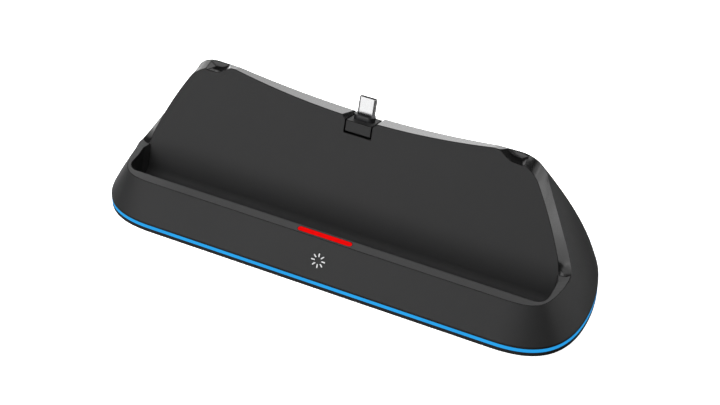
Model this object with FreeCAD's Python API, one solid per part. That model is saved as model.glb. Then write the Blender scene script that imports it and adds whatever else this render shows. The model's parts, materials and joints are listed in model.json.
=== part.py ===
import FreeCAD, Part
import math
import os

os.makedirs("parts", exist_ok=True)
Vec = FreeCAD.Vector

# Charging dock for a handheld console, sizes in millimetres
# Lengths run along X, depths are counted from the front edge, heights from the underside of the case

# Case outline at the base
base_length = 230.7
base_depth = 79.1
front_corner_reach = 31.0
front_corner_fullness = 0.69
rear_edge_length = 179.8
side_fullness = 0.51
rear_fullness = 0.52

# Case heights
foot_proud = 0.6
floor_height = 2.05
guide_height = 1.9
skirt_height = 1.0
ledge_height = 21.9

# Front wall slope, run per unit of height, place of the back wall at its top, and wall thickness
front_slope = 0.495
back_top_depth = 50.39
back_top_height = 68.05
wall = 2.4

# Outer edge of the ledge
ledge_corner_length = 172.4
ledge_corner_fullness = 0.80
ledge_side_length = 212.2
ledge_side_depth = 30.3

# Leaning plate, measured in its own plane from the foot of the connector tab
plate_tilt = 71.3
plate_depth = 42.6
plate_drop = 12.15
top_edge_middle = 6.95
top_edge_peak = 12.6
peak_half = 62.5
horn_half = 73.0
horn_rise = 12.9
horn_front_rise = 12.0
horn_pull = 0.8
horn_fall = 2.4
shoulder_half = 84.2
shoulder_rise = 3.2
shoulder_run = 0.53
shoulder_drop = 0.85
shoulder_pull = 5.8
side_low_half = 98.5
side_low_rise = -26.0
side_low_run = 0.344
side_low_drop = 0.939
side_high_pull = 8.2
side_pull = 10.8
side_foot_pull = 6.0
foot_half = 100.6
foot_run = 0.12
foot_drop = 0.99
foot_pull = 3.0
top_band_fall = 0.10

# Rim behind the plate, where the edge bands meet the outer walls
rim_low_half = 102.3
rim_low_rise = -27.2
rim_low_back = 5.25
rim_low_run = 3.25
rim_low_climb = 6.1
rim_low_retreat = 1.1
rim_low_stretch = 1.6
rim_high_half = 85.5
rim_high_rise = 3.75
rim_high_back = 8.3
rim_high_run = 0.36
rim_high_climb = 0.99
rim_high_advance = 0.19
rim_high_pull_low = 8.5
rim_high_pull_high = 6.0
rim_horn_pull = 5.5
rim_foot_pull = 2.8
rim_foot_climb = 0.3
rim_foot_spread = 0.25

# Swell of the side walls between the base and the rim
swell_at_ledge = 0.5
swell_at_rim_low = 0.8
swell_at_rim_high = 5.5
wall_split_low = 0.20
wall_split_high = 0.62

# Scoops in front of the horns
scoop_depth = 4.3
scoop_front = 2.0
scoop_low_half = 73.0
scoop_low_rise = 8.6
scoop_lift = 1.2
scoop_pull = 5.0
scoop_end_run = 3.3
scoop_end_rise = 8.45
scoop_end_lean = 2.45
scoop_end_spread = 1.5

# Trough between the ledge and the plate
ledge_width = 4.7
trough_floor = 9.0
trough_slope = 0.3
trough_length = 204.0
trough_back_radius = 6.0
trough_wall_share = 1.01
trough_end_radius = 5.0
toe_run = 3.6
toe_width = 1.4

# Ramps where the ledge rises to the side bands
ramp_front = 23.2
ramp_turn = 38.7
ramp_run = 3.35
ramp_rise = 0.9
ramp_pad = 12.0
ramp_bend = 2.1

# Connector carrier and its slot
tab_width = 12.2
tab_height = 5.1
slot_gap = 0.5
slot_bottom_gap = 0.9
notch_top_width = 16.8
carrier_back_set = 0.8
carrier_stem_width = 9.2
carrier_stem_front = 3.8
carrier_stem_back = 6.4
pivot_drop = 11.0
pivot_set_back = 6.0
barrel_radius = 3.1
pin_diameter = 2.0
turning_clearance = 0.3
sleeve_wall = 1.5
sleeve_drop = 7.0

# Charging plug and collar
plug_width = 8.25
plug_thickness = 2.4
plug_wall = 0.32
plug_set_back = 6.9
plug_base = 3.0
plug_top = 15.2
collar_width = 9.9
collar_thickness = 5.4
collar_forward = 1.0
collar_top = 7.4
insert_top = 8.6
insert_clearance = 0.03
contact_count = 12
contact_pitch = 0.5
contact_width = 0.25
contact_thickness = 0.2
contact_length = 5.0
plug_board_width = 7.0
plug_board_thickness = 1.0
plug_board_low = -6.5

# Bracket, spring and their screws
cheek_inner = 4.9
cheek_thickness = 2.3
cheek_front = 2.75
cheek_low = -21.0
cheek_high = -7.6
flange_half = 13.2
flange_high = -14.2
bracket_seat = 7.4
flange_thickness = 2.0
bracket_boss_radius = 2.3
bracket_screw_half = 10.4
bracket_screw_rise = -17.6
bracket_screw_radius = 0.9
bracket_screw_head_radius = 1.8
bracket_screw_head = 1.2
bracket_screw_depth = 4.0
spring_wire = 0.5
spring_radius = 1.65
spring_pitch = 0.6
spring_turns = 4.0
spring_end_gap = 0.35
spring_steps = 12
spring_wire_sides = 6

# Indicator bar in the ledge
lens_straight = 23.6
lens_width = 2.6
lens_bottom = 13.5
lens_clearance = 0.04
indicator_board_length = 40.0
indicator_board_front = 8.0
indicator_board_back = 13.0
indicator_board_low = 11.5
indicator_board_thickness = 1.0
indicator_led_length = 2.2
indicator_led_width = 1.6
indicator_led_height = 0.9
indicator_led_pitch = 8.0
post_inner = 16.4
post_outer = 19.6
post_front = 8.6
post_back = 12.4

# Touch symbol and pad on the front wall
symbol_down_slope = 9.9
ray_count = 8
ray_inner = 1.6
ray_outer = 3.45
ray_width = 0.64
ray_depth = 0.5
touch_pad_radius = 4.6
touch_pad_thickness = 0.7

# Light guide and its lights
guide_width = 4.0
led_depth = 1.1
led_length = 3.4
led_height = 1.3
flex_thickness = 0.3
flex_edge = 0.15
front_led_pitch = 25.0
front_led_count = 7
rear_led_pitch = 40.0
rear_led_count = 5
rib_gap = 0.25
rib_thickness = 1.4
rib_height = 3.0

# Main board and power inlet
board_length = 60.0
board_width = 18.0
board_back_room = 6.1
board_low = 6.6
board_thickness = 1.6
standoff_radius = 2.6
standoff_half = 26.0
standoff_inset = 3.6
board_screw_radius = 1.1
board_screw_head_radius = 2.1
board_screw_head = 1.2
board_screw_depth = 3.6
inlet_width = 8.94
inlet_thickness = 3.26
inlet_depth = 7.3
inlet_wall = 0.3
inlet_clearance = 0.25
inlet_tongue_width = 6.6
inlet_tongue_thickness = 0.7
inlet_tongue_length = 5.4
inlet_back_wall = 1.0
inlet_recess_width = 14.0
inlet_recess_height = 8.0
inlet_face_drop = 1.0
chip_set = ((-16.0, 8.0, 7.0, 7.0), (15.0, 6.5, 5.0, 4.0), (15.0, 12.5, 3.5, 3.5))
chip_height = 1.1

# Ballast, feet and case screws
ballast_length = 104.0
ballast_front_gap = 7.2
ballast_back_gap = 4.0
ballast_thickness = 6.0
ballast_boss_half = 44.0
ballast_boss_radius = 2.6
ballast_hole_clearance = 0.15
ballast_boss_drop = 0.2
ballast_screw_radius = 1.3
ballast_screw_head_radius = 3.4
ballast_screw_head = 1.4
ballast_screw_depth = 4.2
foot_radius = 6.5
foot_recess = 0.8
front_foot_half = 93.0
front_foot_depth = 13.5
rear_foot_half = 90.0
rear_foot_room = 19.1
case_boss_radius = 3.2
case_screw_radius = 1.3
case_screw_head_radius = 2.8
case_screw_head = 1.1
case_screw_length = 7.5
screw_fit = 0.05
front_boss_depth = 21.0
front_boss_halves = (32.0, 80.0)
rear_boss_room = 14.6
rear_boss_half = 74.0
front_boss_bite = 0.9
rear_boss_top = 34.0

# Flat cables
cable_width = 6.0
cable_thickness = 0.3

# Values that follow from the sizes above
base_half = base_length / 2
guide_low = floor_height
guide_top = guide_low + guide_height
skirt_top = guide_top + skirt_height
rise_to_ledge = ledge_height - skirt_top
ledge_front = front_slope * rise_to_ledge
back_slope = (base_depth - back_top_depth) / (back_top_height - skirt_top)
plate_height = back_top_height - plate_drop
scoop_end_half = horn_half + scoop_end_run
board_back = base_depth - board_back_room
board_front = board_back - board_width
ballast_front = front_boss_depth + case_boss_radius + ballast_front_gap
ballast_back = board_front - ballast_back_gap
rear_foot_depth = base_depth - rear_foot_room
rear_boss_depth = base_depth - rear_boss_room
trough_front = ledge_front + ledge_width
tilt = math.radians(plate_tilt)
lean_cos = math.cos(tilt)
lean_sin = math.sin(tilt)
front_angle = math.atan(front_slope)
wall_run = wall / math.cos(front_angle)
reach = base_length
board_top = board_low + board_thickness
ballast_top = floor_height + ballast_thickness
front_boss_top = trough_floor - wall + front_boss_bite
slot_half = tab_width / 2 + slot_gap
case_hole_radius = case_screw_radius + screw_fit
case_head_hole_radius = case_screw_head_radius + screw_fit
board_hole_radius = board_screw_radius + screw_fit
ballast_screw_hole_radius = ballast_screw_radius + screw_fit
ballast_hole_radius = ballast_boss_radius + ballast_hole_clearance
floor_bite = floor_height - wall / 4


def at(x, depth, height):
    """Point from half-length, depth behind the front edge and height above the case underside."""
    return Vec(x, depth - base_depth / 2, height + foot_proud)


def on_plate(x, up, out):
    """Point from its place across and up the plate, and its distance out in front of the plate."""
    depth = plate_depth + up * lean_cos - out * lean_sin
    height = plate_height + up * lean_sin + out * lean_cos
    return at(x, depth, height)


across = Vec(1, 0, 0)
upright = Vec(0, 0, 1)
backward = Vec(0, 1, 0)
plate_normal = Vec(0, -lean_sin, lean_cos)
plate_up = Vec(0, lean_cos, lean_sin)


def plate_depth_at(height):
    return plate_depth + (height - plate_height) * lean_cos / lean_sin


def back_depth_at(height):
    return base_depth - back_slope * (height - skirt_top)


def line(a, b):
    return Part.makeLine(a, b)


def bezier(points):
    curve = Part.BezierCurve()
    curve.setPoles(points)
    return curve.toShape()


def arc(a, b, c):
    return Part.Arc(a, b, c).toShape()


def solid_between(edges, direction):
    return Part.Face(Part.Wire(edges)).extrude(direction)


def polygon_solid(points, direction):
    return Part.Face(Part.makePolygon(points + [points[0]])).extrude(direction)


def block(x0, x1, depth0, depth1, height0, height1):
    corner = at(x0, depth0, height0)
    return Part.makeBox(x1 - x0, depth1 - depth0, height1 - height0, corner)


def post(x, depth, height0, height1, radius):
    return Part.makeCylinder(radius, height1 - height0, at(x, depth, height0), Vec(0, 0, 1))


def plate_block(across0, across1, up0, up1, out0, out1):
    points = [on_plate(across0, up0, out0), on_plate(across1, up0, out0)]
    points += [on_plate(across1, up1, out0), on_plate(across0, up1, out0)]
    return polygon_solid(points, plate_normal * (out1 - out0))


def stadium(centre, along, sideways, width, thickness, direction):
    """Solid with a rounded slot section."""
    radius = thickness / 2
    half = width / 2 - radius
    a = centre - along * half - sideways * radius
    b = centre + along * half - sideways * radius
    c = centre + along * (half + radius)
    d = centre + along * half + sideways * radius
    e = centre - along * half + sideways * radius
    f = centre - along * (half + radius)
    return solid_between([line(a, b), arc(b, c, d), line(d, e), arc(e, f, a)], direction)


def fused(first, others):
    return first.fuse(others).removeSplitter()


# Outlines of the case
base_section = {
    "front": 0.0,
    "corner": base_half - front_corner_reach,
    "fullness": front_corner_fullness,
    "side": (base_half, front_corner_reach),
    "side_pull": (base_half, front_corner_reach + side_fullness * (base_depth - front_corner_reach)),
    "rear_pull": (rear_edge_length / 2 + rear_fullness * (base_half - rear_edge_length / 2), base_depth),
    "rear": (rear_edge_length / 2, base_depth),
}
ledge_section = {
    "front": ledge_front,
    "corner": ledge_corner_length / 2,
    "fullness": ledge_corner_fullness,
    "side": (ledge_side_length / 2, ledge_side_depth),
    "side_pull": (ledge_side_length / 2 + rim_foot_spread, ledge_side_depth + rim_foot_pull),
}


def corner_poles(section, inset):
    """Poles of the front corner of an outline, drawn in by an inset."""
    front = section["front"] + inset
    corner = section["corner"]
    side = (section["side"][0] - inset, section["side"][1])
    run = (section["side_pull"][0] - section["side"][0], section["side_pull"][1] - section["side"][1])
    back_pull = section["fullness"] * (side[1] - front) / math.hypot(run[0], run[1])
    return [
        (corner, front),
        (corner + section["fullness"] * (side[0] - corner), front),
        (side[0] - run[0] * back_pull, side[1] - run[1] * back_pull),
        side,
    ]


def side_poles(section, inset):
    """Poles of the side and rear corner of an outline, drawn in by an inset."""
    return [
        (section["side"][0] - inset, section["side"][1]),
        (section["side_pull"][0] - inset, section["side_pull"][1] - inset * side_fullness),
        (section["rear_pull"][0] - inset * rear_fullness, section["rear_pull"][1] - inset),
        (section["rear"][0], section["rear"][1] - inset),
    ]


def outline(inset, height):
    """Closed outline of the base at one height, drawn in by an inset."""
    corner_points = corner_poles(base_section, inset)
    side_points = side_poles(base_section, inset)
    start = corner_points[0]
    end = side_points[-1]
    edges = [
        line(at(-start[0], start[1], height), at(start[0], start[1], height)),
        bezier([at(x, d, height) for x, d in corner_points]),
        bezier([at(x, d, height) for x, d in side_points]),
        line(at(end[0], end[1], height), at(-end[0], end[1], height)),
        bezier([at(-x, d, height) for x, d in reversed(side_points)]),
        bezier([at(-x, d, height) for x, d in reversed(corner_points)]),
    ]
    return Part.Wire(edges)


def outline_slab(inset, low, high):
    return Part.Face(outline(inset, low)).extrude(Vec(0, 0, high - low))


def outline_ring(inset, width, low, high):
    return outline_slab(inset, low, high).cut(outline_slab(inset + width, low, high))


def patch(rows):
    """Smooth face over rows of poles."""
    surface = Part.BSplineSurface()
    high = len(rows)
    wide = len(rows[0])
    surface.buildFromPolesMultsKnots(
        rows, [high, high], [wide, wide], [0.0, 1.0], [0.0, 1.0], False, False, high - 1, wide - 1,
    )
    return surface.toShape()


def split_poles(poles, share):
    """Poles of the two parts of a curve that is divided at a share of its length."""
    first = [poles[0]]
    second = [poles[-1]]
    while len(poles) > 1:
        poles = [a * (1 - share) + b * share for a, b in zip(poles, poles[1:])]
        first.append(poles[0])
        second.insert(0, poles[-1])
    return first, second


def swollen(low_row, high_row, swells):
    """Three rows of poles for a wall that swells outward between its lower and upper edge."""
    middle = [(a + b) * 0.5 + swell for a, b, swell in zip(low_row, high_row, swells)]
    return [low_row, middle, high_row]


def mirrored(points):
    return [Vec(-point.x, point.y, point.z) for point in points]


def to_back_wall(place, run):
    """Place on the back wall behind a place on the front of the top band."""
    step = Vec(0, lean_sin, -lean_cos) - plate_up * top_band_fall
    depth = place.y + base_depth / 2
    height = place.z - foot_proud
    room = back_depth_at(height) - run - depth
    return place + step * (room / (step.y + back_slope * step.z))


def case_faces(inset, low):
    """Faces of the upper case, with the trough still filled, drawn in by an inset."""
    run = inset / math.cos(front_angle)
    level = ledge_height - inset
    plate = -inset
    base_corner = [at(x, d, skirt_top) for x, d in corner_poles(base_section, run)]
    base_side = [at(x, d, skirt_top) for x, d in side_poles(base_section, run)]
    ledge_run = run - front_slope * inset
    ledge_corner = [at(x, d, level) for x, d in corner_poles(ledge_section, ledge_run)]

    # Front outline of the plate, from the middle of the top to the foot
    drop = inset * math.hypot(1.0, back_slope)
    middle_pull = 2 * top_edge_middle - top_edge_peak - drop
    peak = on_plate(peak_half, top_edge_peak - drop, plate)
    horn = on_plate(horn_half - inset, horn_front_rise - drop, plate)
    horn_turn = on_plate(horn_half - inset + horn_pull, horn_front_rise - horn_fall - drop, plate)
    crest = on_plate(horn_half - inset, horn_rise - drop, plate)
    shoulder_x = shoulder_half - inset
    shoulder = on_plate(shoulder_x, shoulder_rise - drop, plate)
    shoulder_step = Vec(shoulder_run, 0, 0) - plate_up * shoulder_drop
    low_step = Vec(side_low_run, 0, 0) - plate_up * side_low_drop
    foot_step = Vec(foot_run, 0, 0) - plate_up * foot_drop
    side_low = on_plate(side_low_half - inset, side_low_rise - drop, plate)
    foot = at(foot_half - inset, plate_depth_at(level) + inset / lean_sin, level)
    top_front = [mirrored([peak])[0], on_plate(0, middle_pull, plate), peak]
    horn_front = [horn, horn_turn, shoulder - shoulder_step * shoulder_pull, shoulder]
    side_front = [
        shoulder,
        shoulder + shoulder_step * side_high_pull,
        side_low - low_step * side_pull,
        side_low,
    ]
    foot_front = [side_low, side_low + low_step * side_foot_pull, foot - foot_step * foot_pull, foot]

    # Rim behind that outline
    draw_in = Vec(-inset, -inset * back_slope, -inset * lean_cos)
    rim_high = on_plate(rim_high_half, rim_high_rise, -rim_high_back) + draw_in
    rim_low = on_plate(rim_low_half, rim_low_rise, -rim_low_back) + draw_in
    rim_high_step = Vec(-rim_high_run, 0, 0) + plate_up * rim_high_climb + plate_normal * rim_high_advance
    rim_low_step = Vec(-rim_low_run, 0, 0) + plate_up * rim_low_climb - plate_normal * rim_low_retreat
    rim_foot = ledge_corner[-1]
    rim_foot_turn = rim_foot + Vec(rim_foot_spread, rim_foot_pull, rim_foot_climb)
    peak_back = to_back_wall(peak, run)
    horn_back = to_back_wall(crest, run)
    middle_back = to_back_wall(top_front[1], run)
    top_rim = [mirrored([peak_back])[0], middle_back, peak_back]
    horn_rim = [
        horn_back,
        horn_back + Vec(rim_horn_pull, 0, 0),
        rim_high + rim_high_step * rim_high_pull_high,
        rim_high,
    ]
    side_rim = [
        rim_high,
        rim_high - rim_high_step * rim_high_pull_low,
        rim_low + rim_low_step * rim_low_stretch,
        rim_low,
    ]
    foot_rim = [rim_low, rim_low - rim_low_step, rim_foot_turn, rim_foot]

    # Side walls that swell between the base and the rim
    foot_base, rest = split_poles(base_side, wall_split_low)
    side_base, horn_base = split_poles(rest, (wall_split_high - wall_split_low) / (1 - wall_split_low))
    swells = []
    amounts = [swell_at_ledge, swell_at_rim_low, swell_at_rim_high, 0.0]
    for part in range(3):
        for step in range(4 if part == 2 else 3):
            share = step / 3
            amount = amounts[part] * (1 - share) + amounts[part + 1] * share
            turn = math.pi / 2 * ((part + share) / 3) ** 1.5
            swells.append(Vec(math.cos(turn), math.sin(turn), 0) * amount)
    none = Vec(0, 0, 0)
    right_rows = [
        swollen(base_corner, ledge_corner, [none, none, swells[0] * 0.5, swells[0]]),
        swollen(foot_base, foot_rim[::-1], swells[0:4]),
        swollen(side_base, side_rim[::-1], swells[3:7]),
        swollen(horn_base, horn_rim[::-1], swells[6:10]),
        [foot_front, foot_rim],
        [side_front, side_rim],
        [horn_front, horn_rim],
        [[peak, horn], [peak_back, horn_back]],
    ]
    faces = [patch(rows) for rows in right_rows]
    faces += [patch([mirrored(row) for row in rows]) for rows in right_rows]
    faces.append(patch([top_front, top_rim]))

    # Flat faces: front wall, back wall, ledge, plate, underside and skirt
    def both(points):
        return bezier(points), bezier(mirrored(points))

    def flat(edges):
        return Part.Face(Part.Wire(Part.sortEdges(edges)[0]))

    def crossing(point):
        return line(point, mirrored([point])[0])

    front_edge = line(base_corner[0], ledge_corner[0])
    front_edge_left = line(*mirrored([base_corner[0], ledge_corner[0]]))
    faces.append(flat([crossing(base_corner[0]), crossing(ledge_corner[0]), front_edge, front_edge_left]))
    back_edges = [crossing(base_side[-1]), bezier(top_rim)]
    back_edges += both([base_side[-1], horn_back])
    back_edges += both([horn_back, peak_back])
    faces.append(flat(back_edges))
    ledge_edges = [crossing(ledge_corner[0]), crossing(foot)]
    ledge_edges += both(ledge_corner)
    ledge_edges += both([rim_foot, foot])
    faces.append(flat(ledge_edges))
    plate_edges = [crossing(foot), bezier(top_front)]
    for points in (foot_front, side_front, horn_front, [horn, peak]):
        plate_edges += both(points)
    faces.append(flat(plate_edges))
    skirt = outline(run, low)
    faces.append(Part.Face(skirt))
    for edge in skirt.Edges:
        faces.append(edge.extrude(Vec(0, 0, skirt_top - low)))
    return faces


def case_form(inset, low):
    shell = Part.makeShell(case_faces(inset, low))
    shell.sewShape()
    form = Part.makeSolid(shell)
    if form.Volume < 0:
        form.reverse()
    return form


def trough(inset):
    """Space of the trough, grown by an inset for the hollow underneath."""
    rise = ledge_width
    half = trough_length / 2 + inset
    floor = trough_floor - inset
    front = trough_front - inset * math.hypot(1.0, trough_slope)
    back = inset * trough_wall_share / lean_sin
    high = ledge_height + rise
    points = [
        at(-half, front - rise * trough_slope, high),
        at(-half, front + (ledge_height - floor) * trough_slope, floor),
        at(-half, plate_depth_at(floor) + back, floor),
        at(-half, plate_depth_at(high) + back, high),
    ]
    shape = polygon_solid(points, Vec(2 * half, 0, 0))
    front_middle = (points[0] + points[1]) * 0.5
    end_edges = []
    for edge in shape.Edges:
        box = edge.BoundBox
        if box.XLength < wall and (box.Center - front_middle).cross(across).Length < wall / 2:
            end_edges.append(edge)
    shape = shape.makeFillet(trough_end_radius + inset, end_edges)
    low_edges = []
    for edge in shape.Edges:
        box = edge.BoundBox
        if box.XLength > half and (box.Center - points[2]).cross(across).Length < wall / 2:
            low_edges.append(edge)
    shape = shape.makeFillet(trough_back_radius + inset, low_edges)
    low = floor - wall
    line_depth = plate_depth_at(low) + back
    lean_length = (high + wall - low) / lean_sin
    for side in (1, -1):
        toe_points = [
            at(side * half, line_depth - toe_run, low),
            at(side * (half - toe_width), line_depth, low),
            at(side * (half - toe_width), line_depth + toe_run, low),
            at(side * (half + toe_width), line_depth + toe_run, low),
            at(side * (half + toe_width), line_depth - toe_run, low),
        ]
        shape = shape.cut(polygon_solid(toe_points, plate_up * lean_length))
    return shape


def ledge_ramps():
    """Low ramps at both ends of the ledge, where it rises to the side bands."""
    turn = math.radians(ramp_turn)
    along = Vec(math.cos(turn), math.sin(turn), 0)
    toward = Vec(-math.sin(turn), math.cos(turn), 0)
    low = ledge_height - wall / 2
    start = at(trough_length / 2, ramp_front, ledge_height) - along * ramp_pad
    sunk = Vec(0, 0, low - ledge_height)
    raised = Vec(0, 0, ramp_rise)
    profile = [
        start + sunk,
        start,
        start + toward * ramp_run + raised,
        start + toward * ramp_pad + raised,
        start + toward * ramp_pad + sunk,
    ]
    ramp = polygon_solid(profile, along * (3 * ramp_pad))
    corner = corner_poles(ledge_section, 0.0)
    end = corner[-1]
    bend = (end[0] - ramp_bend / 10, end[1] + ramp_bend)
    last = (end[0] - ramp_bend * 2 / 5, end[1] + 2 * ramp_bend)
    inside = (corner[0][0], last[1])
    edges = [bezier([at(x, d, low) for x, d in corner])]
    spots = [end, bend, last, inside, corner[0]]
    for here, there in zip(spots, spots[1:]):
        edges.append(line(at(here[0], here[1], low), at(there[0], there[1], low)))
    bounds = Part.Face(Part.Wire(edges)).extrude(Vec(0, 0, wall))
    ramp = ramp.common(bounds)
    return [ramp, ramp.mirror(Vec(0, 0, 0), across)]


def scoops(inset):
    """Hollows in front of the two horns."""
    pieces = []
    tall = horn_rise + 2 * scoop_depth
    for side in (1, -1):
        def spot(x, y, out):
            return on_plate(side * x, y - inset, out)

        wires = []
        for out in (scoop_front, -scoop_depth - inset):
            share = -out / scoop_depth
            lift = scoop_lift * share
            end = scoop_end_half - scoop_end_lean * share + inset
            end_top = end + scoop_end_spread * (tall - scoop_end_rise)
            start = spot(peak_half - inset, top_edge_peak + lift, out)
            low = spot(scoop_low_half, scoop_low_rise + lift, out)
            corner = spot(end, scoop_end_rise + lift, out)
            high = spot(end_top, tall, out)
            back = spot(peak_half - inset, tall, out)
            curve = bezier([
                start,
                spot(peak_half - inset + scoop_pull, top_edge_peak + lift, out),
                spot(scoop_low_half - scoop_pull, scoop_low_rise + lift, out),
                low,
            ])
            edges = [curve, line(low, corner), line(corner, high), line(high, back), line(back, start)]
            wires.append(Part.Wire(edges))
        pieces.append(Part.makeLoft(wires, True, True))
    return pieces


def body(inset, low):
    """Solid form of the upper case, drawn in by an inset for its hollow."""
    form = case_form(inset, low)
    if inset == 0:
        form = fused(form, ledge_ramps())
    form = form.cut(trough(inset))
    for piece in scoops(inset):
        form = form.cut(piece)
    return form


# Places on the sloping front wall
front_outward = Vec(0, -math.cos(front_angle), math.sin(front_angle))
front_upward = Vec(0, math.sin(front_angle), math.cos(front_angle))
symbol_centre = at(0, ledge_front, ledge_height) - front_upward * symbol_down_slope

# Places of the fasteners
case_screw_places = []
for boss_side in (-1, 1):
    for boss_half in front_boss_halves:
        case_screw_places.append((boss_side * boss_half, front_boss_depth, front_boss_top))
    case_screw_places.append((boss_side * rear_boss_half, rear_boss_depth, rear_boss_top))
foot_places = []
for foot_side in (-1, 1):
    foot_places.append((foot_side * front_foot_half, front_foot_depth))
    foot_places.append((foot_side * rear_foot_half, rear_foot_depth))
standoff_places = []
for standoff_side in (-1, 1):
    standoff_places.append((standoff_side * standoff_half, board_front + standoff_inset))
    standoff_places.append((standoff_side * standoff_half, board_back - standoff_inset))
ballast_middle = (ballast_front + ballast_back) / 2
ballast_places = [(-ballast_boss_half, ballast_middle), (ballast_boss_half, ballast_middle)]

# Power inlet place on the back wall
inlet_middle = board_top + inlet_thickness / 2
inlet_face = back_depth_at(board_top + inlet_thickness + inlet_face_drop)
inlet_front = inlet_face - inlet_depth


def inlet_form(grow, depth0, depth1):
    place = at(0, depth0, inlet_middle)
    width = inlet_width + 2 * grow
    thickness = inlet_thickness + 2 * grow
    return stadium(place, across, upright, width, thickness, backward * (depth1 - depth0))


# Top shell
outer = body(0.0, guide_top)
hollow = body(wall, guide_low - wall)
top_shell = outer.cut(hollow)
envelope = body(wall / 2, guide_low)
additions = []
for boss_x, boss_depth, boss_top in case_screw_places:
    additions.append(post(boss_x, boss_depth, guide_low, boss_top, case_boss_radius).common(envelope))
for post_side in (-1, 1):
    x0, x1 = sorted((post_side * post_inner, post_side * post_outer))
    board_face = indicator_board_low + indicator_board_thickness
    ledge_post = block(x0, x1, post_front, post_back, board_face, ledge_height - wall / 2)
    additions.append(ledge_post)
    x0, x1 = sorted((post_side * slot_half, post_side * (slot_half + sleeve_wall)))
    sleeve = plate_block(x0, x1, -sleeve_drop, top_edge_peak, -wall / 2, -base_depth / 2)
    additions.append(sleeve.common(envelope))
    boss_start = on_plate(post_side * bracket_screw_half, bracket_screw_rise, -wall / 2)
    boss_run = bracket_seat - wall / 2
    additions.append(Part.makeCylinder(bracket_boss_radius, boss_run, boss_start, plate_normal * -1))
top_shell = fused(top_shell, additions)
notch_slope = (notch_top_width / 2 - slot_half) / (top_edge_middle - tab_height)
notch_rise = top_edge_peak
slot_points = [
    on_plate(-slot_half, -slot_bottom_gap, scoop_depth),
    on_plate(slot_half, -slot_bottom_gap, scoop_depth),
    on_plate(slot_half, tab_height, scoop_depth),
    on_plate(slot_half + notch_slope * notch_rise, tab_height + notch_rise, scoop_depth),
    on_plate(-slot_half - notch_slope * notch_rise, tab_height + notch_rise, scoop_depth),
    on_plate(-slot_half, tab_height, scoop_depth),
]
slot = polygon_solid(slot_points, plate_normal * (-base_depth / 2))
lens_place = at(0, (ledge_front + trough_front) / 2, lens_bottom)
lens_length = lens_straight + lens_width
lens_slot = stadium(
    lens_place, across, backward, lens_length + 2 * lens_clearance, lens_width + 2 * lens_clearance,
    upright * (ledge_height - lens_bottom + wall),
)
rays = []
for ray_number in range(ray_count):
    angle = 2 * math.pi * ray_number / ray_count
    along = across * math.cos(angle) + front_upward * math.sin(angle)
    sideways = front_upward * math.cos(angle) - across * math.sin(angle)
    centre = symbol_centre + along * ((ray_inner + ray_outer) / 2) - front_outward * ray_depth
    rays.append(stadium(centre, along, sideways, ray_outer - ray_inner, ray_width, front_outward * ray_depth))
inlet_recess = block(
    -inlet_recess_width / 2, inlet_recess_width / 2, inlet_face, base_depth + wall,
    inlet_middle - inlet_recess_height / 2, inlet_middle + inlet_recess_height / 2,
)
cuts = [slot, lens_slot, inlet_recess, inlet_form(inlet_clearance, inlet_front, base_depth)] + rays
for boss_x, boss_depth, boss_top in case_screw_places:
    screw_top = min(floor_height + case_screw_length, boss_top - wall / 2)
    cuts.append(post(boss_x, boss_depth, 0.0, screw_top, case_hole_radius))
for post_side in (-1, 1):
    start = on_plate(post_side * bracket_screw_half, bracket_screw_rise, -bracket_seat - wall)
    run = wall + bracket_screw_depth
    cuts.append(Part.makeCylinder(bracket_screw_radius + screw_fit, run, start, plate_normal))
for tool in cuts:
    top_shell = top_shell.cut(tool)

# Bottom shell with its rib, standoffs and bosses
rib_inset = guide_width + led_depth + flex_thickness + rib_gap
bottom_shell = outline_slab(0.0, 0.0, floor_height)
raised = [outline_ring(rib_inset, rib_thickness, floor_bite, floor_height + rib_height)]
for x, depth in standoff_places:
    raised.append(post(x, depth, floor_bite, board_low, standoff_radius))
for x, depth in ballast_places:
    raised.append(post(x, depth, floor_bite, ballast_top - ballast_boss_drop, ballast_boss_radius))
bottom_shell = fused(bottom_shell, raised)
for x, depth in foot_places:
    bottom_shell = bottom_shell.cut(post(x, depth, -wall, foot_recess, foot_radius))
for x, depth, boss_top in case_screw_places:
    bottom_shell = bottom_shell.cut(post(x, depth, -wall, case_screw_head, case_head_hole_radius))
    bottom_shell = bottom_shell.cut(post(x, depth, 0.0, floor_height + wall, case_hole_radius))
for x, depth in standoff_places:
    start = board_low - board_screw_depth
    bottom_shell = bottom_shell.cut(post(x, depth, start, board_low + wall, board_hole_radius))
for x, depth in ballast_places:
    start = ballast_top - ballast_screw_depth
    bottom_shell = bottom_shell.cut(post(x, depth, start, ballast_top + wall, ballast_screw_hole_radius))

# Light guide, its lights and their flexible strip
light_guide = outline_ring(0.0, guide_width, guide_low, guide_top)
led_low = guide_low + (guide_height - led_height) / 2
led_chips = []
for number in range(front_led_count):
    x = (number - (front_led_count - 1) / 2) * front_led_pitch
    chip = block(x - led_length / 2, x + led_length / 2, guide_width, guide_width + led_depth,
                 led_low, led_low + led_height)
    led_chips.append(chip)
for number in range(rear_led_count):
    x = (number - (rear_led_count - 1) / 2) * rear_led_pitch
    back = base_depth - guide_width
    chip = block(x - led_length / 2, x + led_length / 2, back - led_depth, back,
                 led_low, led_low + led_height)
    led_chips.append(chip)
led_flex = outline_ring(guide_width + led_depth, flex_thickness, guide_low + flex_edge, guide_top - flex_edge)

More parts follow.
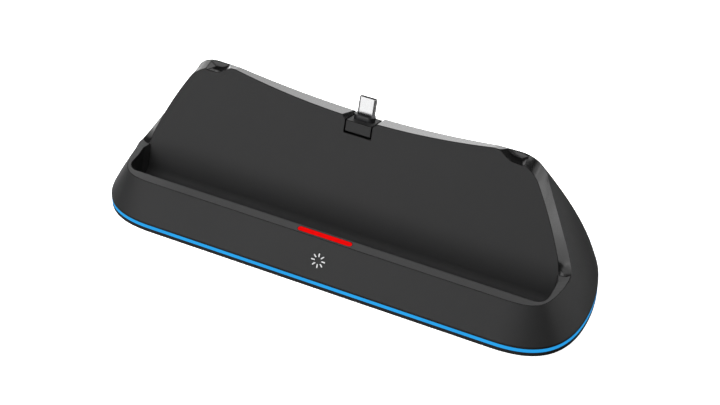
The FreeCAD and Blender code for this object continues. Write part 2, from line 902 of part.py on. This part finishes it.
# Red indicator in the ledge
indicator_lens = stadium(lens_place, across, backward, lens_length, lens_width,
                         upright * (ledge_height - lens_bottom))
indicator_board = block(
    -indicator_board_length / 2, indicator_board_length / 2, indicator_board_front, indicator_board_back,
    indicator_board_low, indicator_board_low + indicator_board_thickness,
)
indicator_leds = []
for number in (-1, 0, 1):
    x = number * indicator_led_pitch
    middle = (ledge_front + trough_front) / 2
    low = indicator_board_low + indicator_board_thickness
    led = block(x - indicator_led_length / 2, x + indicator_led_length / 2, middle - indicator_led_width / 2,
                middle + indicator_led_width / 2, low, low + indicator_led_height)
    indicator_leds.append(led)

# Touch pad behind the symbol
pad_start = symbol_centre - front_outward * wall
touch_pad = Part.makeCylinder(touch_pad_radius, touch_pad_thickness, pad_start, front_outward * -1)

# Connector carrier
carrier_half = tab_width / 2


def back_out_at(up):
    """Distance from the plate to the outer back wall, at one height up the plate."""
    depth = plate_depth + up * lean_cos
    height = plate_height + up * lean_sin
    return (back_depth_at(height) - depth) / (lean_sin - back_slope * lean_cos)


head_points = [
    on_plate(-carrier_half, 0.0, 0.0),
    on_plate(-carrier_half, tab_height, 0.0),
    on_plate(-carrier_half, tab_height, carrier_back_set - back_out_at(tab_height)),
    on_plate(-carrier_half, 0.0, carrier_back_set - back_out_at(tab_height)),
]
head = polygon_solid(head_points, Vec(tab_width, 0, 0))
stem_half = carrier_stem_width / 2
stem = plate_block(-stem_half, stem_half, -pivot_drop, tab_height / 2,
                   -carrier_stem_front, -carrier_stem_back)
pivot_place = on_plate(0, -pivot_drop, -pivot_set_back)
barrel_start = pivot_place - across * stem_half
barrel = Part.makeCylinder(barrel_radius, carrier_stem_width, barrel_start, across)
connector_carrier = fused(head, [stem, barrel])
foot_trim = plate_block(-reach, reach, -pivot_drop - wall, -pivot_drop, -pivot_set_back, -base_depth)
barrel_keep = Part.makeCylinder(barrel_radius, reach, pivot_place - across * (reach / 2), across)
connector_carrier = connector_carrier.cut(foot_trim.cut(barrel_keep))
pin_bore = Part.makeCylinder(
    pin_diameter / 2 + turning_clearance, reach, pivot_place - across * (reach / 2), across,
)
connector_carrier = connector_carrier.cut(pin_bore)
spring_pocket = Part.makeCylinder(
    barrel_radius + turning_clearance, reach, pivot_place + across * spring_pitch, across,
)
connector_carrier = connector_carrier.cut(spring_pocket)
plug_place = on_plate(0, plug_base, -plug_set_back)
plug_run = plate_up * (plug_top - plug_base)
plug_form = stadium(plug_place, across, plate_normal, plug_width, plug_thickness, plug_run)
board_half = plug_board_width / 2
plug_board = plate_block(
    -board_half, board_half, plug_board_low, plug_base,
    -plug_set_back - plug_board_thickness / 2, -plug_set_back + plug_board_thickness / 2,
)
connector_carrier = connector_carrier.cut(plug_form).cut(plug_board)

# Collar, plug shell, insert and contacts
collar_place = on_plate(0, tab_height, collar_forward - plug_set_back)
collar_run = plate_up * (collar_top - tab_height)
plug_collar = stadium(collar_place, across, plate_normal, collar_width, collar_thickness, collar_run)
plug_collar = plug_collar.cut(plug_form)
inner_width = plug_width - 2 * plug_wall
inner_thickness = plug_thickness - 2 * plug_wall
plug_core = stadium(plug_place, across, plate_normal, inner_width, inner_thickness, plug_run)
plug_shell = plug_form.cut(plug_core)
plug_insert = stadium(
    plug_place, across, plate_normal,
    inner_width - 2 * insert_clearance, inner_thickness - 2 * insert_clearance,
    plate_up * (insert_top - plug_base),
)
plug_contacts = []
contact_seat = inner_thickness / 2 - insert_clearance
for number in range(contact_count):
    x = (number - (contact_count - 1) / 2) * contact_pitch
    for side in (1, -1):
        face = -plug_set_back + side * contact_seat
        strip = plate_block(x - contact_width / 2, x + contact_width / 2, insert_top,
                            insert_top + contact_length, face - side * contact_thickness, face)
        plug_contacts.append(strip)

# Pivot pin, bracket, spring and bracket screws
cheek_outer = cheek_inner + cheek_thickness
pivot_pin = Part.makeCylinder(pin_diameter / 2, 2 * cheek_outer, pivot_place - across * cheek_outer, across)
flange_back = bracket_seat + flange_thickness
flange = plate_block(-flange_half, flange_half, cheek_low, flange_high, -bracket_seat, -flange_back)
cheeks = []
for side in (1, -1):
    x0, x1 = sorted((side * cheek_inner, side * cheek_outer))
    cheeks.append(plate_block(x0, x1, cheek_low, cheek_high, -cheek_front, -flange_back))
connector_bracket = fused(flange, cheeks)
pin_hole = Part.makeCylinder(pin_diameter / 2, reach, pivot_place - across * (reach / 2), across)
connector_bracket = connector_bracket.cut(pin_hole)
bracket_screws = []
for side in (1, -1):
    seat = on_plate(side * bracket_screw_half, bracket_screw_rise, -flange_back)
    clearance = Part.makeCylinder(bracket_screw_radius + screw_fit, reach / 2, seat, plate_normal)
    connector_bracket = connector_bracket.cut(clearance)
    shank_length = flange_thickness + bracket_screw_depth
    shank = Part.makeCylinder(bracket_screw_radius, shank_length, seat, plate_normal)
    screw_head = Part.makeCylinder(bracket_screw_head_radius, bracket_screw_head, seat, plate_normal * -1)
    bracket_screws.append(fused(shank, [screw_head]))
spring_height = spring_pitch * spring_turns
spring_start = cheek_inner - spring_end_gap - spring_height
spring_sections = []
for step in range(int(spring_turns * spring_steps) + 1):
    angle = 2 * math.pi * step / spring_steps
    outward = plate_up * math.cos(angle) + plate_normal * math.sin(angle)
    middle = pivot_place + across * (spring_start + spring_pitch * step / spring_steps)
    middle = middle + outward * spring_radius
    corners = []
    for number in range(spring_wire_sides + 1):
        turn = 2 * math.pi * number / spring_wire_sides
        corner = outward * math.cos(turn) + across * math.sin(turn)
        corners.append(middle + corner * (spring_wire / 2))
    spring_sections.append(Part.makePolygon(corners))
return_spring = Part.makeLoft(spring_sections, True, True)

# Main board with its parts
main_board = block(-board_length / 2, board_length / 2, board_front, board_back, board_low, board_top)
board_screws = []
for x, depth in standoff_places:
    main_board = main_board.cut(post(x, depth, board_low - wall, board_top + wall, board_hole_radius))
    shank = post(x, depth, board_low - board_screw_depth, board_top, board_screw_radius)
    screw_head = post(x, depth, board_top, board_top + board_screw_head, board_screw_head_radius)
    board_screws.append(fused(shank, [screw_head]))
board_chips = []
for x, depth, length, width in chip_set:
    middle = board_front + depth
    chip = block(x - length / 2, x + length / 2, middle - width / 2, middle + width / 2,
                 board_top, board_top + chip_height)
    board_chips.append(chip)
inlet_shell = inlet_form(0.0, inlet_front, inlet_face)
inlet_shell = inlet_shell.cut(inlet_form(-inlet_wall, inlet_front + inlet_back_wall, inlet_face + wall))
inlet_tongue = block(
    -inlet_tongue_width / 2, inlet_tongue_width / 2, inlet_front + inlet_back_wall,
    inlet_front + inlet_back_wall + inlet_tongue_length,
    inlet_middle - inlet_tongue_thickness / 2, inlet_middle + inlet_tongue_thickness / 2,
)

# Ballast, feet and case screws
ballast_plate = block(
    -ballast_length / 2, ballast_length / 2, ballast_front, ballast_back, floor_height, ballast_top,
)
ballast_screws = []
for x, depth in ballast_places:
    hole = post(x, depth, floor_height - wall, ballast_top + wall, ballast_hole_radius)
    ballast_plate = ballast_plate.cut(hole)
    shank = post(x, depth, ballast_top - ballast_screw_depth, ballast_top, ballast_screw_radius)
    screw_head = post(x, depth, ballast_top, ballast_top + ballast_screw_head, ballast_screw_head_radius)
    ballast_screws.append(fused(shank, [screw_head]))
rubber_feet = []
for x, depth in foot_places:
    rubber_feet.append(post(x, depth, -foot_proud, foot_recess, foot_radius))
case_screws = []
for x, depth, boss_top in case_screw_places:
    screw_top = min(floor_height + case_screw_length, boss_top - wall / 2)
    screw_head = post(x, depth, 0.0, case_screw_head, case_screw_head_radius)
    shank = post(x, depth, case_screw_head, screw_top, case_screw_radius)
    case_screws.append(fused(shank, [screw_head]))


def flat_cable(path):
    """Flat cable that follows a path of depths and heights."""
    half = cable_thickness / 2
    upper_side = []
    lower_side = []
    for number, spot in enumerate(path):
        before = path[max(number - 1, 0)]
        after = path[min(number + 1, len(path) - 1)]
        run = (after[0] - before[0], after[1] - before[1])
        size = math.hypot(run[0], run[1])
        off = (-run[1] / size * half, run[0] / size * half)
        upper_side.append(at(-cable_width / 2, spot[0] + off[0], spot[1] + off[1]))
        lower_side.append(at(-cable_width / 2, spot[0] - off[0], spot[1] - off[1]))
    return polygon_solid(upper_side + lower_side[::-1], Vec(cable_width, 0, 0))


# Flat cables from the main board to the plug board and to the front boards
cable_half = cable_thickness / 2
cable_bend = 2 * wall
cable_face = plug_set_back + plug_board_thickness / 2 + cable_half
cable_behind = flange_back + 2 * cable_thickness


def plate_spot(up, out):
    place = on_plate(0, up, out)
    return (place.y + base_depth / 2, place.z - foot_proud)


plug_cable_path = [
    plate_spot(plug_board_low + wall, -cable_face),
    plate_spot(plug_board_low + cable_half, -cable_face),
    plate_spot(-pivot_drop + barrel_radius, -cable_behind),
    plate_spot(cheek_low, -cable_behind - wall),
    (board_front + wall / 2, board_top + cable_bend),
    (board_front + wall, board_top + wall),
    (board_front + cable_bend, board_top + cable_half),
    (board_front + 2 * cable_bend, board_top + cable_half),
]
plug_cable = flat_cable(plug_cable_path)
over_ballast = ballast_top + cable_thickness
under_trough = (floor_height + trough_floor - wall) / 2
front_cable_path = [
    (board_front + wall, board_top + cable_half),
    (board_front, board_top + cable_half),
    (ballast_back, over_ballast),
    (ballast_front - cable_half, over_ballast),
    (ballast_front - wall / 2, over_ballast - wall),
    (ballast_front - cable_bend, under_trough),
    (trough_front + wall, under_trough),
    (indicator_board_back - wall, indicator_board_low - wall),
    (indicator_board_back - wall, indicator_board_low),
]
front_cable = flat_cable(front_cable_path)

nodes = {
    "top_shell": top_shell,
    "bottom_shell": bottom_shell,
    "light_guide": light_guide,
    "led_flex": led_flex,
    "led_chips": Part.makeCompound(led_chips),
    "indicator_lens": indicator_lens,
    "indicator_board": indicator_board,
    "indicator_leds": Part.makeCompound(indicator_leds),
    "touch_symbol": Part.makeCompound(rays),
    "touch_pad": touch_pad,
    "connector_carrier": connector_carrier,
    "plug_collar": plug_collar,
    "plug_shell": plug_shell,
    "plug_insert": plug_insert,
    "plug_contacts": Part.makeCompound(plug_contacts),
    "plug_board": plug_board,
    "plug_cable": plug_cable,
    "pivot_pin": pivot_pin,
    "return_spring": return_spring,
    "connector_bracket": connector_bracket,
    "bracket_screws": Part.makeCompound(bracket_screws),
    "main_board": main_board,
    "board_chips": Part.makeCompound(board_chips),
    "inlet_shell": inlet_shell,
    "inlet_tongue": inlet_tongue,
    "board_screws": Part.makeCompound(board_screws),
    "front_cable": front_cable,
    "ballast_plate": ballast_plate,
    "ballast_screws": Part.makeCompound(ballast_screws),
    "rubber_feet": Part.makeCompound(rubber_feet),
    "case_screws": Part.makeCompound(case_screws),
}
for name, shape in nodes.items():
    shape.exportStep("parts/" + name + ".step")
    box = shape.BoundBox
    print(name, len(shape.Solids), shape.isValid(), round(shape.Volume, 1),
          [round(v, 2) for v in (box.XMin, box.XMax, box.YMin, box.YMax, box.ZMin, box.ZMax)])
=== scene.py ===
import json
import math

import bmesh
import bpy
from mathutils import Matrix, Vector


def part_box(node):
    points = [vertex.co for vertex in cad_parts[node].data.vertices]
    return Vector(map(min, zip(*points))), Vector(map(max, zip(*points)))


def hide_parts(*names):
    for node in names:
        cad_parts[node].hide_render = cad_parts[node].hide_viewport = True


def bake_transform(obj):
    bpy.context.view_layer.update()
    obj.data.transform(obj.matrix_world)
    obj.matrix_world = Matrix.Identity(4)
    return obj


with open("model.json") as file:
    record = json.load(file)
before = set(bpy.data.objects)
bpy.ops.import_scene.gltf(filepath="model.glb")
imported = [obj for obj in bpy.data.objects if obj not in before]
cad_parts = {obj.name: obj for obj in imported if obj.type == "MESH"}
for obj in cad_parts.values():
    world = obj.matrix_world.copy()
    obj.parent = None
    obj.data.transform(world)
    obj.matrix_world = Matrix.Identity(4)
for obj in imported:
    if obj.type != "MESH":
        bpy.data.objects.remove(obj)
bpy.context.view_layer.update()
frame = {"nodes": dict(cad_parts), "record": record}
nodes = frame["nodes"]
scene = bpy.context.scene
scene.view_settings.view_transform = "Standard"
scene.view_settings.look = "None"

# Camera at the photograph's viewing angle
camera_place = (0.29288, -0.58736, 0.58050)
camera_tilt = math.radians(49.49)
camera_turn = math.radians(26.28)
camera_lens = 96.67
camera_sensor = 36.0
camera_data = bpy.data.cameras.new("camera")
camera_data.sensor_width = camera_sensor
camera_data.lens = camera_lens
camera = bpy.data.objects.new("camera", camera_data)
camera.location = camera_place
camera.rotation_euler = (camera_tilt, 0.0, camera_turn)
scene.collection.objects.link(camera)
scene.camera = camera

# Settings that the materials share
noise_low, noise_high = 0.3, 0.7
bevel_samples = 8
edge_turn_low, edge_turn_high = 0.975, 0.997
# Colour of the painted shade line along edges, in place of their dark reflection
painted_edge_shade = (0.002, 0.002, 0.002, 1.0)
grain_detail, grain_roughness = 3.0, 0.6
colour_coarseness = 90.0
grain_bump = 0.25
streak_detail, streak_roughness = 4.0, 0.6
streak_bump, streak_depth = 0.08, 0.00002
glow_roughness, glow_specular = 0.35, 0.1


# Material helpers, which keep each material in finishes under its name
finishes = {}


def new_material(name):
    material = bpy.data.materials.new(name)
    finishes[name] = material
    material.use_nodes = True
    tree = material.node_tree
    shader = tree.nodes["Principled BSDF"]
    coords = tree.nodes.new("ShaderNodeTexCoord")
    return tree, shader, coords.outputs["Object"]


def noise(tree, coords, scale, detail=2.0, roughness=0.5):
    node = tree.nodes.new("ShaderNodeTexNoise")
    node.inputs["Scale"].default_value = scale
    node.inputs["Detail"].default_value = detail
    node.inputs["Roughness"].default_value = roughness
    tree.links.new(coords, node.inputs["Vector"])
    return node.outputs["Fac"]


def spread(tree, value, low, high, start=noise_low, end=noise_high):
    """The value, spread from the range between start and end to the one between low and high."""
    node = tree.nodes.new("ShaderNodeMapRange")
    node.inputs["From Min"].default_value = start
    node.inputs["From Max"].default_value = end
    node.inputs["To Min"].default_value = low
    node.inputs["To Max"].default_value = high
    tree.links.new(value, node.inputs["Value"])
    return node.outputs["Result"]


def mix_colors(tree, factor, first, second):
    node = tree.nodes.new("ShaderNodeMix")
    node.data_type = "RGBA"
    node.inputs["A"].default_value = (*first, 1.0)
    node.inputs["B"].default_value = (*second, 1.0)
    tree.links.new(factor, node.inputs["Factor"])
    return node.outputs["Result"]


def bump(tree, shader, height, strength, distance, normal=None):
    node = tree.nodes.new("ShaderNodeBump")
    node.inputs["Strength"].default_value = strength
    node.inputs["Distance"].default_value = distance
    tree.links.new(height, node.inputs["Height"])
    if normal:
        tree.links.new(normal, node.inputs["Normal"])
    tree.links.new(node.outputs["Normal"], shader.inputs["Normal"])


def rounded_edges(tree, radius):
    """Normal of softly rounded edges, and a value that falls from one to nought on them."""
    rounding = tree.nodes.new("ShaderNodeBevel")
    rounding.samples = bevel_samples
    rounding.inputs["Radius"].default_value = radius
    surface = tree.nodes.new("ShaderNodeNewGeometry")
    turn = tree.nodes.new("ShaderNodeVectorMath")
    turn.operation = "DOT_PRODUCT"
    tree.links.new(rounding.outputs["Normal"], turn.inputs[0])
    tree.links.new(surface.outputs["Normal"], turn.inputs[1])
    flat = spread(tree, turn.outputs["Value"], 0.0, 1.0, edge_turn_low, edge_turn_high)
    return rounding.outputs["Normal"], flat


def painted_edge_darkening(tree, factor, color):
    """The colour, darkened where the factor falls: a painted dark line along an edge, in place of the dark
    reflection on its rounding.
    """
    node = tree.nodes.new("ShaderNodeMix")
    node.data_type = "RGBA"
    node.inputs["A"].default_value = painted_edge_shade
    tree.links.new(color, node.inputs["B"])
    tree.links.new(factor, node.inputs["Factor"])
    return node.outputs["Result"]


def moulded(name, dark, light, rough, grain, depth, specular=0.5, edge=0.0):
    """Plastic, rubber or lacquer with a fine grain, and a painted dark line along the edges, in place of
    their dark reflection, where an edge radius is given.
    """
    tree, shader, coords = new_material(name)
    fine = noise(tree, coords, grain, grain_detail, grain_roughness)
    broad = noise(tree, coords, grain / colour_coarseness)
    color = mix_colors(tree, broad, dark, light)
    normal = None
    if edge:
        normal, flat = rounded_edges(tree, edge)
        # Paint a dark line along the edges, in place of their dark reflection
        color = painted_edge_darkening(tree, flat, color)
    tree.links.new(color, shader.inputs["Base Color"])
    tree.links.new(spread(tree, fine, *rough), shader.inputs["Roughness"])
    bump(tree, shader, fine, grain_bump, depth, normal)
    shader.inputs["Specular IOR Level"].default_value = specular


def metal(name, dark, light, rough, scratch):
    """Drawn or plated metal with fine streaks along its length."""
    tree, shader, coords = new_material(name)
    stretch = tree.nodes.new("ShaderNodeMapping")
    stretch.inputs["Scale"].default_value = scratch
    tree.links.new(coords, stretch.inputs["Vector"])
    streaks = noise(tree, stretch.outputs["Vector"], 1.0, streak_detail, streak_roughness)
    tree.links.new(mix_colors(tree, streaks, dark, light), shader.inputs["Base Color"])
    tree.links.new(spread(tree, streaks, *rough), shader.inputs["Roughness"])
    bump(tree, shader, streaks, streak_bump, streak_depth)
    shader.inputs["Metallic"].default_value = 1.0


def glowing(name, core, rim, body, scale, glow):
    """Tinted light guide that glows a little unevenly along its length."""
    tree, shader, coords = new_material(name)
    uneven = noise(tree, coords, scale)
    tree.links.new(mix_colors(tree, uneven, rim, core), shader.inputs["Emission Color"])
    tree.links.new(spread(tree, uneven, *glow), shader.inputs["Emission Strength"])
    shader.inputs["Base Color"].default_value = (*body, 1.0)
    shader.inputs["Roughness"].default_value = glow_roughness
    shader.inputs["Specular IOR Level"].default_value = glow_specular


# The three materials of the top shell, with painted light on the ledge and painted shade on the trough
# floor
edge_radius = 0.0005
moulded("shell_black", (0.019, 0.019, 0.0193), (0.021, 0.021, 0.0213),
        rough=(0.4, 0.5), grain=4200.0, depth=0.00004, specular=0.2, edge=edge_radius)
# Lighter colour for the up-facing ledge: painted light from above
moulded("ledge_satin_painted_light", (0.054, 0.054, 0.0545), (0.059, 0.059, 0.0595),
        rough=(0.35, 0.5), grain=4200.0, depth=0.00003, specular=0.2, edge=edge_radius)
# Glossy near-black trim, which on the trough floor also serves as painted shade
moulded("trim_black_and_painted_trough_shade", (0.005, 0.005, 0.005), (0.007, 0.007, 0.007),
        rough=(0.16, 0.24), grain=2600.0, depth=0.00001, specular=0.5, edge=edge_radius)

# Finishes of the other pieces, named after the record's material slots
moulded("collar_black", (0.008, 0.008, 0.009), (0.012, 0.012, 0.013),
        rough=(0.3, 0.45), grain=3000.0, depth=0.00003)
moulded("foot_rubber", (0.012, 0.012, 0.012), (0.02, 0.02, 0.02),
        rough=(0.75, 0.9), grain=2500.0, depth=0.00006)
moulded("symbol_white", (0.5, 0.5, 0.51), (0.58, 0.58, 0.59),
        rough=(0.4, 0.5), grain=3000.0, depth=0.00002)
moulded("led_white", (0.7, 0.68, 0.55), (0.85, 0.83, 0.75),
        rough=(0.3, 0.45), grain=3000.0, depth=0.00002)
moulded("board_green", (0.01, 0.1, 0.035), (0.02, 0.16, 0.06),
        rough=(0.25, 0.4), grain=1800.0, depth=0.00002)
moulded("flex_amber", (0.42, 0.2, 0.03), (0.55, 0.28, 0.06),
        rough=(0.25, 0.4), grain=1800.0, depth=0.00002)
metal("plug_steel", (0.42, 0.42, 0.43), (0.62, 0.62, 0.62),
      rough=(0.22, 0.36), scratch=(9000.0, 900.0, 900.0))
metal("screw_steel", (0.4, 0.4, 0.41), (0.58, 0.58, 0.58),
      rough=(0.28, 0.45), scratch=(3000.0, 3000.0, 700.0))
metal("ballast_steel", (0.3, 0.3, 0.3), (0.42, 0.42, 0.41),
      rough=(0.35, 0.55), scratch=(300.0, 4000.0, 4000.0))
metal("contact_gold", (0.75, 0.5, 0.16), (0.88, 0.64, 0.24),
      rough=(0.2, 0.3), scratch=(4000.0, 700.0, 700.0))
metal("copper", (0.62, 0.28, 0.15), (0.75, 0.4, 0.22),
      rough=(0.3, 0.45), scratch=(2000.0, 2000.0, 700.0))
glowing("guide_blue", core=(0.022, 0.34, 0.78), rim=(0.02, 0.315, 0.74), body=(0.005, 0.05, 0.1),
        scale=60.0, glow=(0.95, 1.02))
glowing("lens_red", core=(0.8, 0.001, 0.001), rim=(0.72, 0.001, 0.001), body=(0.06, 0.001, 0.001),
        scale=400.0, glow=(0.95, 1.05))
for entry in frame["record"]["subparts"]:
    node = nodes[entry["node"]]
    node.data.materials.clear()
    node.data.materials.append(finishes[entry["material_slot"]])

# Place of the plate, and of the rim where a side band meets the outer wall, as depths and heights
plate_tilt = math.radians(71.3)
plate_foot = Vector((0.00305, 0.0565))
rim_high_rise, rim_high_back = 0.00375, 0.0083
rim_high_climb, rim_high_advance = 0.99, 0.19
rim_high_pull = 0.0085
rim_low_rise, rim_low_back = -0.0272, 0.00525
rim_low_climb, rim_low_retreat = 0.0061, 0.0011
rim_low_stretch = 1.6
rim_foot = Vector((-0.00925, 0.0225))
rim_foot_pull = Vector((0.0028, 0.0003))
horn_back = Vector((0.0117, 0.0667))
rim_steps = 4


def by_plate(up, out):
    """Step in depth and height that goes so far up the plate and so far out of its face."""
    return Vector((up * math.cos(plate_tilt) - out * math.sin(plate_tilt),
                   up * math.sin(plate_tilt) + out * math.cos(plate_tilt)))


def along_curve(points, share):
    """Place at a share of the way along the Bezier curve with these poles."""
    while len(points) > 1:
        points = [first.lerp(second, share) for first, second in zip(points, points[1:])]
    return points[0]


rim_high = plate_foot + by_plate(rim_high_rise, -rim_high_back)
rim_low = plate_foot + by_plate(rim_low_rise, -rim_low_back)
high_step = by_plate(rim_high_climb, rim_high_advance) * rim_high_pull
low_step = by_plate(rim_low_climb, -rim_low_retreat)
foot_rim = [rim_foot, rim_foot + rim_foot_pull, rim_low - low_step, rim_low]
side_rim = [rim_low, rim_low + low_step * rim_low_stretch, rim_high - high_step, rim_high]
rim_line = [along_curve(rim, step / rim_steps) for rim in (foot_rim, side_rim) for step in range(rim_steps)]
rim_line += [rim_high, horn_back]


def rim_depth(height):
    """Depth of the rim at one height."""
    for (start, low), (end, high) in zip(rim_line, rim_line[1:]):
        if height <= high:
            return start + (end - start) * max(0.0, height - low) / (high - low)
    return horn_back.x


# Ledge in a lighter satin colour, which is painted light from above; near-black glossy trim on the trough
# floor, which is painted shade; and glossy trim on the side bands, the top band and the horns
ledge_low, ledge_high = 0.0215, 0.0236
trim_low = 0.0223
trough_low = 0.014
top_low = 0.05
level_normal, top_normal, back_normal = 0.9, 0.6, 0.8
plate_tolerance = 0.00005
trim_reach = 0.013


def is_ledge(centre, normal):
    # Up-facing polygons at the ledge's height take the lighter colour, which is painted light
    return ledge_low < centre.z < ledge_high and normal.z > level_normal


def is_trim_or_painted_trough_shade(centre, normal):
    from_plate = centre.yz - plate_foot
    forward = from_plate.dot(by_plate(0.0, 1.0))
    # The trough floor takes the near-black trim colour as painted shade in the trough
    if centre.z < trough_low and normal.z > level_normal:
        return True
    if centre.z < trim_low or normal.y > back_normal:
        return False
    if centre.z > top_low and normal.z > top_normal:
        return True
    on_plate = abs(forward) < plate_tolerance
    return not on_plate and forward > -trim_reach and centre.y < rim_depth(centre.z)


top_shell = nodes["top_shell"]
top_shell.data.materials.append(finishes["ledge_satin_painted_light"])
top_shell.data.materials.append(finishes["trim_black_and_painted_trough_shade"])
for polygon in top_shell.data.polygons:
    if is_ledge(polygon.center, polygon.normal):
        polygon.material_index = 1
    elif is_trim_or_painted_trough_shade(polygon.center, polygon.normal):
        polygon.material_index = 2

# Copy of the plug cable between the main board and the tilting plug board, cut into rings where it would
# bend
cable_cuts = 12
cable = bpy.data.objects.new("plug_cable_bend", nodes["plug_cable"].data.copy())
scene.collection.objects.link(cable)
bend_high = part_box("plug_board")[0][2]
bend_low = (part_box("plug_cable")[0][2] + bend_high) / 2
cable_mesh = bmesh.new()
cable_mesh.from_mesh(cable.data)
for step in range(cable_cuts + 1):
    height = bend_low + (bend_high - bend_low) * step / cable_cuts
    whole = cable_mesh.verts[:] + cable_mesh.edges[:] + cable_mesh.faces[:]
    bmesh.ops.bisect_plane(cable_mesh, geom=whole, plane_co=(0.0, 0.0, height), plane_no=(0.0, 0.0, 1.0))
cable_mesh.to_mesh(cable.data)
cable_mesh.free()
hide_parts("plug_cable")
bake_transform(cable)

# Pale floor with far pale walls, which only the camera sees
floor_reach = 6.0
floor_grain = 3.0
floor_dark, floor_light = (0.93, 0.93, 0.93), (0.95, 0.95, 0.95)
floor_roughness = 0.9
corners = [(-floor_reach, -floor_reach), (floor_reach, -floor_reach),
           (floor_reach, floor_reach), (-floor_reach, floor_reach)]
floor_mesh = bpy.data.meshes.new("floor")
floor_mesh.from_pydata(
    [(x, y, z) for z in (0.0, floor_reach) for x, y in corners],
    [],
    [(0, 1, 2, 3), (1, 0, 4, 5), (2, 1, 5, 6), (3, 2, 6, 7), (0, 3, 7, 4)],
)
floor = bpy.data.objects.new("floor", floor_mesh)
scene.collection.objects.link(floor)
floor_tree, floor_shader, floor_coords = new_material("floor_pale")
floor_mist = noise(floor_tree, floor_coords, floor_grain)
floor_color = mix_colors(floor_tree, floor_mist, floor_dark, floor_light)
floor_tree.links.new(floor_color, floor_shader.inputs["Base Color"])
floor_shader.inputs["Roughness"].default_value = floor_roughness
floor_shader.inputs["Specular IOR Level"].default_value = 0.0
floor_shader.inputs["Emission Color"].default_value = (1.0, 1.0, 1.0, 1.0)
floor_shader.inputs["Emission Strength"].default_value = 1.0
floor_mesh.materials.append(finishes["floor_pale"])
floor.visible_diffuse = False
floor.visible_glossy = False
floor.visible_shadow = False

# Soft studio light: three plain fills, a front light for both, and cards that only show in the gloss
world_strength = 0.06
light_target = Vector((0.0, 0.0, 0.03))
world = bpy.data.worlds.new("world")
world.use_nodes = True
background = world.node_tree.nodes["Background"]
background.inputs["Color"].default_value = (1.0, 1.0, 1.0, 1.0)
background.inputs["Strength"].default_value = world_strength
scene.world = world


def soft_light(name, place, size, power, diffuse=True, glossy=True):
    data = bpy.data.lights.new(name, "AREA")
    data.shape = "RECTANGLE"
    data.size, data.size_y = size
    data.energy = power
    light = bpy.data.objects.new(name, data)
    light.location = place
    light.visible_diffuse = diffuse
    light.visible_glossy = glossy
    light.rotation_euler = (light_target - Vector(place)).to_track_quat("-Z", "Y").to_euler()
    scene.collection.objects.link(light)


soft_light("overhead", place=(0.0, 0.0, 1.3), size=(1.2, 1.2), power=11.0, glossy=False)
soft_light("front_left", place=(-0.74, -0.91, 0.78), size=(1.0, 1.0), power=22.0, glossy=False)
soft_light("back_fill", place=(-0.1, 1.45, 0.4), size=(1.0, 1.0), power=22.0, glossy=False)
soft_light("front", place=(-0.47, -1.3, 0.07), size=(1.2, 0.75), power=5.7)
soft_light("key", place=(0.42, -0.95, 0.68), size=(0.75, 0.55), power=3.0, diffuse=False)
soft_light("back", place=(-0.47, 1.31, -0.1), size=(1.6, 0.7), power=6.2, diffuse=False)
soft_light("back_left", place=(-1.0, 0.96, 0.23), size=(0.75, 1.0), power=4.2, diffuse=False)
soft_light("left", place=(-1.34, 0.33, -0.19), size=(0.96, 0.7), power=1.1, diffuse=False)
soft_light("left_low", place=(-0.9, 0.84, -0.65), size=(0.8, 0.6), power=1.0, diffuse=False)
soft_light("right", place=(1.27, 0.57, 0.15), size=(1.8, 0.96), power=9.5, diffuse=False)
soft_light("right_high", place=(1.13, 0.53, 0.67), size=(0.9, 0.4), power=1.4, diffuse=False)
soft_light("right_top", place=(0.54, 0.54, 1.2), size=(0.4, 0.4), power=1.5, diffuse=False)
soft_light("right_front", place=(1.12, -0.3, 0.81), size=(1.1, 0.8), power=3.6, diffuse=False)
